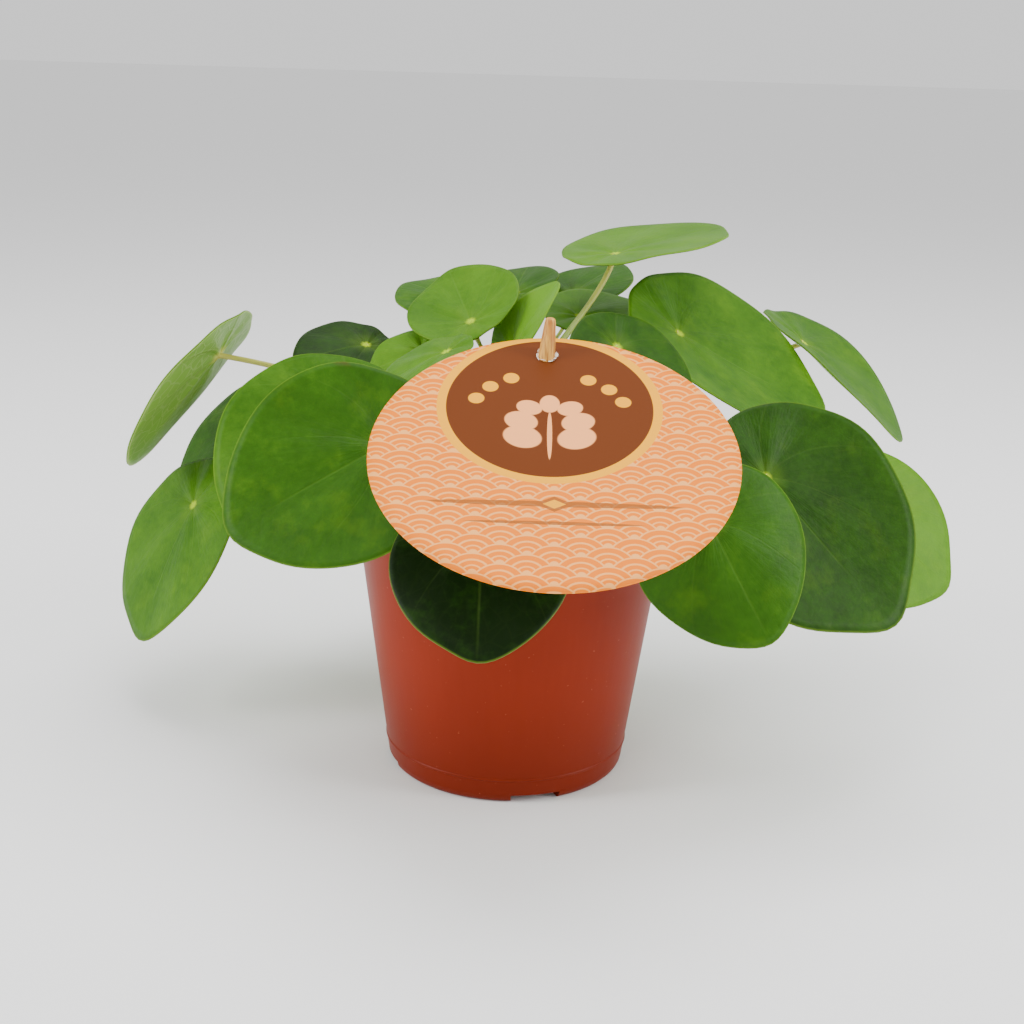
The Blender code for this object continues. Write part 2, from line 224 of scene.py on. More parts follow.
class Value:
    """A socket that takes part in Python expressions."""

    def __init__(self, finish, socket):
        self.finish, self.socket = finish, socket

    def math(self, operation, *others, clamp=False):
        return self.finish.node("ShaderNodeMath", {"operation": operation, "use_clamp": clamp},
                                [self, *others])

    def __add__(self, other): return self.math("ADD", other)
    def __radd__(self, other): return self.math("ADD", other)
    def __sub__(self, other): return self.math("SUBTRACT", other)
    def __rsub__(self, other): return self.finish.math("SUBTRACT", other, self)
    def __mul__(self, other): return self.math("MULTIPLY", other)
    def __rmul__(self, other): return self.math("MULTIPLY", other)
    def __truediv__(self, other): return self.math("DIVIDE", other)
    def __rtruediv__(self, other): return self.finish.math("DIVIDE", other, self)
    def __pow__(self, other): return self.math("POWER", other)
    def __gt__(self, other): return self.math("GREATER_THAN", other)
    def __lt__(self, other): return self.math("LESS_THAN", other)


class Finish:
    """A material in the making."""

    def __init__(self, name):
        self.material = bpy.data.materials.new(name)
        self.material.use_nodes = True
        self.tree = self.material.node_tree
        self.shader = self.tree.nodes["Principled BSDF"]

    def node(self, kind, settings=None, values=(), out=0):
        made = self.tree.nodes.new(kind)
        for key, value in (settings or {}).items():
            if key == "stops":
                ramp = made.color_ramp
                while len(ramp.elements) < len(value):
                    ramp.elements.new(0.5)
                for element, (position, colour) in zip(ramp.elements, value):
                    element.position, element.color = position, (*colour, 1)
            else:
                setattr(made, key, value)
        items = values.items() if isinstance(values, dict) else enumerate(values)
        for key, value in items:
            if value is None:
                continue
            if isinstance(value, Value):
                self.tree.links.new(value.socket, made.inputs[key])
            else:
                if isinstance(value, tuple) and len(value) == 3 and \
                        made.inputs[key].type == "RGBA":
                    value = (*value, 1)
                made.inputs[key].default_value = value
        return Value(self, made.outputs[out])

    def math(self, operation, *values):
        return self.node("ShaderNodeMath", {"operation": operation}, values)

    def mix(self, a, b, factor):
        return self.node("ShaderNodeMix", {"data_type": "RGBA", "clamp_factor": True},
                         {0: factor, 6: a, 7: b}, out=2)

    def fade(self, value, low, high):
        """0 below low, 1 above high, and smooth between; the other way round if low > high."""
        flip = low > high
        return self.node("ShaderNodeMapRange", {"interpolation_type": "SMOOTHSTEP"},
                         {0: value, 1: min(low, high), 2: max(low, high),
                          3: float(flip), 4: float(not flip)})

    def place(self, scale=(1, 1, 1), turn=(0, 0, 0), shift=(0, 0, 0)):
        where = self.node("ShaderNodeTexCoord", out=3)
        return self.node("ShaderNodeMapping", {}, {0: where, 1: shift, 2: turn, 3: scale})

    def noise(self, vector, scale, detail=2.0, rough=0.5):
        return self.node("ShaderNodeTexNoise", {}, {"Vector": vector, "Scale": scale,
                                                    "Detail": detail, "Roughness": rough})

    def attribute(self, name):
        return self.node("ShaderNodeAttribute", {"attribute_name": name}, out=2)

    def flat_map(self, name):
        """The two numbers of a UV map."""
        where = self.node("ShaderNodeUVMap", {"uv_map": name})
        split = self.node("ShaderNodeSeparateXYZ", {}, [where])
        return split, Value(self, split.socket.node.outputs[1])

    def bump(self, height, strength, distance):
        return self.node("ShaderNodeBump", {}, {"Strength": strength, "Distance": distance,
                                                "Height": height})

    def surface(self, **inputs):
        names = {"colour": "Base Color", "roughness": "Roughness", "normal": "Normal",
                 "specular": "Specular IOR Level", "coat": "Coat Weight",
                 "coat_roughness": "Coat Roughness", "sheen": "Sheen Weight",
                 "subsurface": "Subsurface Weight", "radius": "Subsurface Radius",
                 "scale": "Subsurface Scale"}
        for key, value in inputs.items():
            socket = self.shader.inputs[names[key]]
            if isinstance(value, Value):
                self.tree.links.new(value.socket, socket)
            else:
                if socket.type == "RGBA" and len(value) == 3:
                    value = (*value, 1)
                socket.default_value = value
        return self.material


# --- finishes ---

def pot_plastic():
    f = Finish("terracotta plastic")
    colour = tuple(settings("pot").colour)
    cloud = f.noise(f.place((1, 1, 0.35)), 38.0, 4.0)
    streak = f.noise(f.place((1, 1, 0.04)), 420.0, 2.0)
    fleck = f.noise(f.place(), 900.0, 1.0)
    base = f.mix(tuple(c * 0.86 for c in colour), tuple(min(1, c * 1.1) for c in colour), cloud)
    base = f.mix(base, tuple(min(1, c * 1.3 + 0.01) for c in colour), streak * 0.18)
    # Painted shade: the wall is painted darker towards the foot, where the top light falls less.
    height_on_wall = f.node("ShaderNodeSeparateXYZ", {}, [f.place()], out=2)
    base = f.mix(tuple(c * 0.72 for c in colour), base, f.fade(height_on_wall, 0.0, 0.055))
    specks = f.fade(fleck, 0.76, 0.80)
    base = f.mix(base, srgb(190, 110, 84), specks * 0.4)
    fine = f.noise(f.place(), 1500.0, 2.0)
    height = fine * 0.5 + streak * 0.5
    return f.surface(colour=base, roughness=0.36 + cloud * 0.12,
                     normal=f.bump(height, 0.10, 0.0004), specular=0.12)


def peat():
    f = Finish("peat")
    lump = f.noise(f.place(), 160.0, 6.0, 0.65)
    fibre = f.noise(f.place((1, 0.25, 1), (0.4, 0.2, 0.9)), 900.0, 3.0, 0.6)
    base = f.mix(srgb(34, 22, 14), srgb(92, 66, 44), f.fade(lump, 0.35, 0.75))
    base = f.mix(base, srgb(150, 118, 84), f.fade(fibre, 0.62, 0.72) * 0.6)
    return f.surface(colour=base, roughness=0.95, normal=f.bump(lump + fibre * 0.5, 0.8, 0.0012))


def bark():
    f = Finish("green bark")
    ring = f.noise(f.place((0.6, 0.6, 3.0)), 220.0, 4.0, 0.6)
    base = f.mix(srgb(84, 74, 40), srgb(122, 128, 60), ring)
    base = f.mix(base, srgb(70, 50, 32), f.fade(f.noise(f.place(), 420.0, 2.0), 0.55, 0.7))
    return f.surface(colour=base, roughness=0.7, normal=f.bump(ring, 0.5, 0.0006))


def stalk_skin():
    f = Finish("stalk skin")
    along = f.attribute("along")
    tone = f.attribute("tone")
    # A stalk takes its leaf's tone, so its green carries the same painted shade.
    green = f.mix(srgb(96, 122, 42), srgb(150, 168, 66), tone)
    base = f.mix(green, srgb(198, 188, 84), f.fade(along, 0.35, 1.0) * 0.8)
    base = f.mix(base, srgb(120, 84, 50), f.fade(along, 0.1, 0.0) * 0.5)
    line = f.noise(f.place(), 700.0, 2.0)
    return f.surface(colour=base, roughness=0.42 + line * 0.1,
                     normal=f.bump(line, 0.15, 0.0003), subsurface=0.15,
                     radius=(0.6, 1.0, 0.3), scale=0.001)


def blade_coordinates(f):
    """Distance from the joint in millimetres, turn from the tip, and how near the edge is."""
    along, across = f.flat_map("Blade")
    far = f.math("SQRT", along * along + across * across) * 100.0
    turn = f.math("ARCTAN2", across, along)
    return along, across, far, turn, f.attribute("reach")


def vein_mask(f, far, turn, count, bend, width, fade_from, fade_to):
    """Lines that leave the joint and bend towards the tip."""
    bent = turn + f.math("SINE", turn) * far * bend
    sector = bent * (count / math.tau)
    off = f.math("ABSOLUTE", sector - f.math("ROUND", sector)) * (math.tau / count)
    return f.fade(off * far, width, width * 0.25) * f.fade(far, fade_to, fade_from)


def net_veins(f, along, across, far):
    where = f.node("ShaderNodeCombineXYZ", {}, [along, across * 1.2, 0.0])
    drift = f.noise(where, 9.0, 2.0)
    where = f.node("ShaderNodeVectorMath", {"operation": "ADD"},
                   [where, f.node("ShaderNodeCombineXYZ", {}, [drift * 0.05, drift * 0.05, 0.0])])
    cells = f.node("ShaderNodeTexVoronoi", {"feature": "DISTANCE_TO_EDGE"},
                   {"Vector": where, "Scale": 17.0})
    return f.fade(cells, 0.09, 0.01) * f.fade(far, 3.0, 9.0)


def leaf_upper():
    f = Finish("leaf upper side")
    s = settings("leaf")
    along, across, far, turn, reach = blade_coordinates(f)
    tone = f.attribute("tone")
    patch = f.noise(f.place(), 42.0, 4.0, 0.6)
    grain = f.noise(f.place(), 330.0, 4.0, 0.65)
    # Each leaf's tone is partly its age and partly painted shade; the ramp from old to young paints
    # both.
    shade = tone + (patch - 0.5) * 0.5 + (grain - 0.5) * 0.28
    base = f.node("ShaderNodeValToRGB",
                  {"stops": [(0.0, tuple(s.old)), (0.5, tuple(s.grown)), (1.0, tuple(s.young))]},
                  [shade])
    main = vein_mask(f, far, turn, 7, 0.016, 0.55, 20.0, 46.0)
    midrib = vein_mask(f, far, turn, 1, 0.0, 0.7, 26.0, 52.0)
    net = net_veins(f, along, across, far)
    lighter = f.mix(base, srgb(126, 160, 66), 0.35)
    base = f.mix(base, lighter, main * 0.08 + net * 0.02)
    base = f.mix(base, srgb(100, 140, 40), midrib * 0.07)
    blotch = f.noise(f.place(turn=(0.3, 0.1, 0.7)), 75.0, 5.0, 0.62)
    base = f.mix(base, srgb(94, 132, 14), f.fade(blotch, 0.50, 0.70) * tone * 0.4)
    base = f.mix(base, srgb(104, 140, 36), f.fade(far, 9.0, 2.0) * 0.25)
    base = f.mix(base, srgb(176, 204, 0), f.fade(far, 2.6, 0.8) * 0.85)
    base = f.mix(base, srgb(120, 154, 44), f.fade(reach, 0.985, 1.0) * 0.35)
    base = f.mix(base, srgb(84, 40, 12), f.attribute("blemish"))
    crease = f.noise(f.node("ShaderNodeCombineXYZ", {}, [turn * 5.0, far * 0.05, 0.0]), 3.0, 3.0)
    height = grain * 0.6 + patch * 1.1 - main * 0.2 - midrib * 0.35 - net * 0.05 + crease
    return f.surface(colour=base, roughness=0.38 + grain * 0.16,
                     normal=f.bump(height, 0.35, 0.0006), specular=0.1, subsurface=0.05,
                     radius=(0.3, 1.0, 0.2), scale=0.0008)


def leaf_under():
    f = Finish("leaf underside")
    s = settings("leaf")
    along, across, far, turn, reach = blade_coordinates(f)
    tone = f.attribute("tone")
    patch = f.noise(f.place(), 55.0, 4.0, 0.6)
    pale = tuple(s.under)
    # The underside is darker with a lower tone, which is partly painted shade.
    base = f.mix(tuple(c * 0.62 for c in pale), pale, tone * 0.6 + patch * 0.6)
    main = vein_mask(f, far, turn, 7, 0.016, 1.0, 24.0, 50.0)
    net = net_veins(f, along, across, far)
    base = f.mix(base, srgb(120, 160, 60), main * 0.55)
    base = f.mix(base, srgb(178, 200, 134), net * 0.25)
    base = f.mix(base, srgb(196, 204, 92), f.fade(far, 6.0, 1.5))
    base = f.mix(base, srgb(186, 204, 120), f.fade(reach, 0.975, 0.995) * 0.7)
    base = f.mix(base, srgb(150, 92, 48), f.attribute("blemish"))
    height = patch * 0.6 + main * 1.0 + net * 0.3
    return f.surface(colour=base, roughness=0.5, normal=f.bump(height, 0.4, 0.0006),
                     specular=0.25, subsurface=0.1, radius=(0.4, 1.0, 0.2), scale=0.0008)


def wave_print(f, x, y, orange, peach):
    """Rows of overlapping scallops, each with three bands; a row hides the one above it."""
    radius = 7.8
    step = radius / 2
    first = f.math("CEIL", (y - radius) / step)
    spans = []
    for k in range(3):
        row = first + float(k)
        odd = f.math("FLOORED_MODULO", row, 2.0)
        side = x - odd * radius
        side = side - f.math("ROUND", side / (2 * radius)) * (2 * radius)
        rise = y - row * step
        spans.append(f.math("SQRT", side * side + rise * rise))
    inside_first = spans[0] < radius
    inside_second = spans[1] < radius
    rest = inside_second * spans[1] + (1 - inside_second) * spans[2]
    span = (inside_first * spans[0] + (1 - inside_first) * rest) / radius

    def band(low, high):
        soft = 0.025
        return f.fade(span, low - soft, low + soft) * f.fade(span, high + soft, high - soft)
    bands = band(0.69, 0.93) + band(0.40, 0.60) + band(0.18, 0.33)
    return f.mix(peach, orange, bands)


def oval(f, x, y, centre, size, turn=0.0, soft=0.06):
    """A filled ellipse: 1 inside, 0 outside."""
    c, s = math.cos(math.radians(turn)), math.sin(math.radians(turn))
    dx, dy = x - centre[0], y - centre[1]
    a = (dx * c + dy * s) / size[0]
    b = (dy * c - dx * s) / size[1]
    return f.fade(f.math("SQRT", a * a + b * b), 1 + soft, 1 - soft)


def card_print():
    f = Finish("printed card")
    s = settings("card")
    x, y = f.flat_map("Card")
    x, y = x * 100.0, y * 100.0
    base = wave_print(f, x, y, tuple(s.orange), tuple(s.peach))
    brown, yellow = tuple(s.brown), tuple(s.yellow)
    middle, up = -1.5, 22.7
    ring, disc, soft = 36.0, 33.0, 0.1
    centre_gap = f.math("SQRT", (x - middle) * (x - middle) + (y - up) * (y - up))
    base = f.mix(base, yellow, f.fade(centre_gap, ring + soft, ring - soft))
    base = f.mix(base, brown, f.fade(centre_gap, disc + soft, disc - soft))
    peach, gold = srgb(255, 170, 104), srgb(246, 166, 0)
    # a sprig of round leaves on the disc, with gold dots round it
    sprig = oval(f, x, y, (middle, up - 14.0), (0.8, 11.0))
    for side in (-1, 1):
        for low, out, size in ((-15.0, 8.5, 6.2), (-7.5, 9.0, 5.4), (-1.0, 6.5, 4.2)):
            sprig = f.math("MAXIMUM", sprig, oval(f, x, y, (middle + side * out, up + low),
                                                  (size, size * 0.8), side * 24.0))
    sprig = f.math("MAXIMUM", sprig, oval(f, x, y, (middle, up + 1.0), (3.2, 4.2)))
    base = f.mix(base, peach, sprig)
    dots = None
    for turn in range(20, 161, 20):
        if 80 <= turn <= 100:
            continue
        a = math.radians(turn)
        spot = (middle + 25.0 * math.cos(a), up - 4.0 + 20.0 * math.sin(a))
        dot = oval(f, x, y, spot, (2.6, 2.6))
        dots = dot if dots is None else f.math("MAXIMUM", dots, dot)
    base = f.mix(base, gold, dots)
    # a plain rule with a lozenge, and a shorter one under it
    rule = oval(f, x, y, (0.0, -22.0), (38.0, 1.2)) + oval(f, x, y, (0.0, -30.0), (26.0, 0.7))
    lozenge = f.math("ABSOLUTE", x) * 0.55 + f.math("ABSOLUTE", y + 22.0)
    gem = f.fade(lozenge, 3.4, 3.1)
    base = f.mix(base, srgb(150, 84, 30), f.math("MINIMUM", rule + gem, 1.0) * 0.85)
    base = f.mix(base, gold, f.fade(lozenge, 2.0, 1.8))
    dust = f.noise(f.place(), 1400.0, 2.0)
    return f.surface(colour=base, roughness=0.5 + dust * 0.08,
                     normal=f.bump(dust, 0.05, 0.0002), specular=0.08)


def card_board():
    f = Finish("plain board")
    fibre = f.noise(f.place(), 900.0, 4.0, 0.6)
    base = f.mix(srgb(236, 228, 214), srgb(250, 246, 238), fibre)
    return f.surface(colour=base, roughness=0.8, normal=f.bump(fibre, 0.2, 0.0003))


def stick_wood():
    f = Finish("pale wood")
    grain = f.noise(f.place((1, 1, 0.06)), 1300.0, 3.0, 0.55)
    patch = f.noise(f.place((1, 1, 0.4)), 240.0, 3.0)
    base = f.mix(srgb(150, 88, 16), srgb(226, 170, 70), f.fade(grain, 0.3, 0.7))
    base = f.mix(base, srgb(176, 106, 34), f.fade(patch, 0.45, 0.65) * 0.5)
    return f.surface(colour=base, roughness=0.6, normal=f.bump(grain, 0.4, 0.0003))


# --- mesh helpers ---

def finish_piece(name, bm, materials, nodes, smooth_angle=40.0):
    mesh = bpy.data.meshes.new(name)
    bm.to_mesh(mesh)
    bm.free()
    mesh.shade_smooth()
    mesh.set_sharp_from_angle(angle=math.radians(smooth_angle))
    for material in materials:
        mesh.materials.append(material)
    piece = bpy.data.objects.new(name, mesh)
    bpy.context.scene.collection.objects.link(piece)
    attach(piece, "root")
    if nodes:
        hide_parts(*nodes)
    return piece


def spun(profile, steps, start=0.0, angle=math.tau):
    """Turns a closed profile of (radius, height) about Z; a part turn gets its ends closed."""
    bm = bmesh.new()
    ring = [bm.verts.new((r * MM, 0, z * MM)) for r, z in profile]
    bmesh.ops.rotate(bm, verts=ring, cent=(0, 0, 0), matrix=Matrix.Rotation(start, 3, "Z"))
    edges = [bm.edges.new(pair) for pair in zip(ring, ring[1:] + ring[:1])]
    full = abs(angle - math.tau) < 1e-6
    if full:
        bmesh.ops.spin(bm, geom=ring + edges, cent=(0, 0, 0), axis=(0, 0, 1), angle=angle,
                       steps=steps, use_merge=True)
        bmesh.ops.remove_doubles(bm, verts=bm.verts, dist=0.01 * MM)
    else:
        face = bm.faces.new(ring)
        bmesh.ops.spin(bm, geom=[face], cent=(0, 0, 0), axis=(0, 0, 1), angle=angle, steps=steps)
        bmesh.ops.remove_doubles(bm, verts=bm.verts, dist=0.001 * MM)
    bmesh.ops.recalc_face_normals(bm, faces=bm.faces)
    return bm


def grown_tube(points, radii, sides):
    """A round rod grown along points: its end face is drawn out from each point to the next."""
    bm = bmesh.new()
    along = bm.verts.layers.float.new("along")
    bmesh.ops.create_circle(bm, cap_ends=True, segments=sides, radius=1.0)
    face = bm.faces[:][0]
    rim = list(face.verts)
    heading = (points[1] - points[0]).normalized()
    turn = Vector((0, 0, 1)).rotation_difference(heading).to_matrix()
    flat = [turn @ v.co for v in rim]
    for v, co in zip(rim, flat):
        v.co = (points[0] + co * radii[0]) * MM
    for i in range(1, len(points)):
        after = points[min(i + 1, len(points) - 1)]
        new_heading = (after - points[i - 1]).normalized()
        swing = heading.rotation_difference(new_heading).to_matrix()
        flat = [swing @ co for co in flat]
        heading = new_heading
        grown = bmesh.ops.extrude_face_region(bm, geom=[face])["geom"]
        if i > 1:
            bmesh.ops.delete(bm, geom=[face], context="FACES_ONLY")
        face = next(g for g in grown if isinstance(g, bmesh.types.BMFace))
        order = {v: k for k, v in enumerate(rim)}
        new_rim = [None] * sides
        for v in face.verts:
            old = next(e.other_vert(v) for e in v.link_edges if e.other_vert(v) in order)
            new_rim[order[old]] = v
        rim = new_rim
        for v, co in zip(rim, flat):
            v.co = (points[i] + co * radii[i]) * MM
            v[along] = i / (len(points) - 1)
    bmesh.ops.recalc_face_normals(bm, faces=bm.faces)
    return bm


# --- pieces ---

def wall_radius(height):
    return WALL_RADIUS_LOW + TAPER * (height - LOW_HEIGHT)


def build_pot():
    s = settings("pot")
    plastic = pot_plastic()
    under_rim = POT_HEIGHT - RIM_HEIGHT
    ring = RING_HEIGHT
    profile = [
        (RIM_RADIUS - 1.1, POT_HEIGHT), (RIM_RADIUS - 0.6, POT_HEIGHT - 0.1),
        (RIM_RADIUS - 0.15, POT_HEIGHT - 0.5), (RIM_RADIUS, POT_HEIGHT - 1.1),
        (RIM_RADIUS, under_rim + 0.8), (RIM_RADIUS - 0.2, under_rim + 0.2),
        (RIM_RADIUS - 0.7, under_rim), (wall_radius(under_rim) + 0.6, under_rim - 0.2),
        (wall_radius(under_rim), under_rim - 0.9),
    ]
    profile += [(wall_radius(z), z) for z in (75.0, 55.0, 35.0, 18.0)]
    profile += [(wall_radius(ring + 0.5), ring + 0.5), (wall_radius(ring) + 0.28, ring + 0.2),
                (wall_radius(ring) + 0.28, ring - 0.2), (wall_radius(ring - 0.5), ring - 0.5),
                (wall_radius(6.0), 6.0), (wall_radius(NOTCH_HEIGHT), NOTCH_HEIGHT),
                (FOOT_RADIUS - FOOT_WIDTH, NOTCH_HEIGHT), (FOOT_RADIUS - FOOT_WIDTH, FLOOR_TOP),
                (wall_radius(FLOOR_TOP) - 2.2, FLOOR_TOP), (wall_radius(6.2) - WALL, 6.2),
                (wall_radius(under_rim - 0.6) - WALL, under_rim - 0.6),
                (RIM_RADIUS - WALL - 0.6, under_rim + 0.6), (RIM_RADIUS - WALL, under_rim + 1.4),
                (RIM_RADIUS - WALL, POT_HEIGHT - 0.5), (RIM_RADIUS - WALL + 0.05, POT_HEIGHT - 0.1)]
    bm = spun(profile, s.steps)
    finish_piece("pot_body", bm, [plastic], ["pot"])

    foot = [
        (wall_radius(NOTCH_HEIGHT + 0.05), NOTCH_HEIGHT + 0.05), (wall_radius(1.6) - 0.1, 1.8),
        (wall_radius(1.4) - 0.5, 1.0), (FOOT_RADIUS + 0.9, 0.4), (FOOT_RADIUS + 0.3, 0.1),
        (FOOT_RADIUS - 0.2, 0.0), (FOOT_RADIUS - FOOT_WIDTH + 0.3, 0.0),
        (FOOT_RADIUS - FOOT_WIDTH, 0.3), (FOOT_RADIUS - FOOT_WIDTH, NOTCH_HEIGHT + 0.05),
    ]
    gap = NOTCH_WIDTH / FOOT_RADIUS
    for i in range(4):
        start = math.radians(NOTCH_TURN + i * 90) + gap / 2
        bm = spun(foot, 40, start, math.pi / 2 - gap)
        ends = [e for e in bm.edges if abs(e.verts[0].co.z - e.verts[1].co.z) < 0.01 * MM
                and e.verts[0].co.z < 0.2 * MM and len(e.link_faces) == 2
                and e.calc_face_angle(0) > 1.2]
        bmesh.ops.bevel(bm, geom=ends, offset=1.0 * MM, segments=4, profile=0.5, affect="EDGES",
                        material=-1)
        finish_piece(f"pot_foot_{i + 1}", bm, [plastic], [])

    outline = bpy.data.curves.new("pot floor", "CURVE")
    outline.dimensions = "2D"
    outline.fill_mode = "BOTH"
    outline.extrude = (FLOOR_TOP - FLOOR_UNDER) / 2 * MM
    turns = [math.tau * k / DRAIN_COUNT for k in range(DRAIN_COUNT)]
    holes = [(0, 0, CENTRE_HOLE)] + [(DRAIN_RING * math.cos(a), DRAIN_RING * math.sin(a),
                                      DRAIN_RADIUS) for a in turns]
    for x, y, r in [(0, 0, FOOT_RADIUS - FOOT_WIDTH + 0.4)] + holes:
        spline = outline.splines.new("POLY")
        count = 120 if r > 20 else 28
        spline.points.add(count - 1)
        for k, point in enumerate(spline.points):
            a = math.tau * k / count
            point.co = ((x + r * math.cos(a)) * MM, (y + r * math.sin(a)) * MM, 0, 1)
        spline.use_cyclic_u = True
    flat = bpy.data.objects.new("pot floor outline", outline)
    bpy.context.scene.collection.objects.link(flat)
    bm = bmesh.new()
    bm.from_mesh(bpy.data.meshes.new_from_object(
        flat.evaluated_get(bpy.context.evaluated_depsgraph_get())))
    bpy.data.objects.remove(flat)
    bmesh.ops.remove_doubles(bm, verts=bm.verts, dist=0.01 * MM)
    bmesh.ops.translate(bm, verts=bm.verts, vec=(0, 0, (FLOOR_TOP + FLOOR_UNDER) / 2 * MM))
    bmesh.ops.recalc_face_normals(bm, faces=bm.faces)
    finish_piece("pot_floor", bm, [plastic], [])


def build_soil():
    rng = random.Random(11)
    earth = peat()
    edge = wall_radius(SOIL_TOP) - WALL - 0.2
    low = FLOOR_TOP + 0.3
    bm = bmesh.new()
    top = [bm.verts.new((edge * MM * k / 26, 0, SOIL_TOP * MM)) for k in range(27)]
    side = [bm.verts.new((r * MM, 0, z * MM)) for r, z in
            ((wall_radius(60.0) - WALL - 0.2, 60.0), (wall_radius(8.0) - WALL - 0.2, 8.0),
             (wall_radius(low) - WALL - 2.4, low), (0.0, low))]
    chain = top + side
    edges = [bm.edges.new(pair) for pair in zip(chain, chain[1:])]
    bmesh.ops.spin(bm, geom=chain + edges, cent=(0, 0, 0), axis=(0, 0, 1), angle=math.tau,
                   steps=120, use_merge=True)
    bmesh.ops.remove_doubles(bm, verts=bm.verts, dist=0.02 * MM)
    for v in bm.verts:
        if v.co.z > (SOIL_TOP - 1) * MM and v.co.to_2d().length < (edge - 0.3) * MM:
            rough = noise.fractal(v.co * 120, 0.9, 2.1, 5) * 1.6
            grain = noise.noise(v.co * 900) * 0.5
            v.co.z += (min(1.6, rough + grain) - 0.6) * MM
    bmesh.ops.recalc_face_normals(bm, faces=bm.faces)
    finish_piece("soil_bed", bm, [earth], ["potting_soil"], 60.0)

    bm = bmesh.new()
    for _ in range(260):
        far = edge * math.sqrt(rng.uniform(0.02, 0.93))
        a = rng.uniform(0, math.tau)
        size = rng.uniform(0.5, 1.7) * MM
        place = (Matrix.Translation((far * math.cos(a) * MM, far * math.sin(a) * MM,
                                     (SOIL_TOP - 0.3) * MM))
                 @ Matrix.Rotation(rng.uniform(0, math.tau), 4, "Z")
                 @ Matrix.Diagonal((size * rng.uniform(0.8, 2.2), size, size * 0.7, 1)))
        bmesh.ops.create_icosphere(bm, subdivisions=1, radius=1.0, matrix=place)
    finish_piece("soil_crumbs", bm, [earth], [], 60.0)


def stem_axis(height):
    rise = max(0.0, height - LEAN_START) / LEAN_HEIGHT
    return Vector((STEM_LEAN[0] * rise ** 2, STEM_LEAN[1] * rise ** 2, height))


def stem_radius(height):
    share = max(0.0, height - STEM_SOIL_FOOT) / (STEM_TOP - STEM_SOIL_FOOT)
    return STEM_RADIUS + (STEM_RADIUS_TOP - STEM_RADIUS) * share


def build_stem():
    steps = 40
    heights = [STEM_FOOT + (STEM_TOP - 0.6 - STEM_FOOT) * i / steps for i in range(steps + 1)]
    radii = [stem_radius(z) * (0.93 + 0.05 * math.sin(z * 1.9)) for z in heights]
    radii[-3:] = [3.6, 2.9, 1.4]
    bm = grown_tube([stem_axis(z) for z in heights], radii, 24)
    finish_piece("stem_bark", bm, [bark()], ["main_stem"], 70.0)


def leaf_joint(place):
    """Where a stalk meets its blade."""
    direction, out, height = place
    turn = math.radians(direction)
    return Vector((out * math.cos(turn), out * math.sin(turn), height))


def blade_axes(heading, dip, bank):
    h, d, b = (math.radians(a) for a in (heading, dip, bank))
    tip = Vector((math.cos(h) * math.cos(d), math.sin(h) * math.cos(d), -math.sin(d)))
    level = Vector((-math.sin(h), math.cos(h), 0))
    side = math.cos(b) * level + math.sin(b) * tip.cross(level)
    return tip, side, tip.cross(side)


def blade_point(size, curl, turn, reach, sway):
    """A point of the blade from the joint, in millimetres: turn 0 is the tip, reach 1 the edge."""
    length, width = size
    joint = 2 * JOINT_FROM_BASE - 1
    c, s = math.cos(turn), math.sin(turn)
    edge = -joint * c + math.sqrt((joint * c) ** 2 + 1 - joint ** 2)
    from_tip = (turn + math.pi) % math.tau - math.pi
    edge *= 1 + TIP_POINT * math.exp(-(from_tip / TIP_SPREAD) ** 2)
    edge *= 1 + 0.008 * math.sin(5 * turn + sway) + 0.005 * math.sin(9 * turn + 2 * sway)
    along = edge * reach * c
    across = edge * reach * s * (1 - EGG * (joint + along))
    lift = curl[0] * (along / TIP_REACH) ** 2 + curl[1] * across ** 2
    return Vector((along * length / 2, across * width / 2, lift * (length + width) / 4))


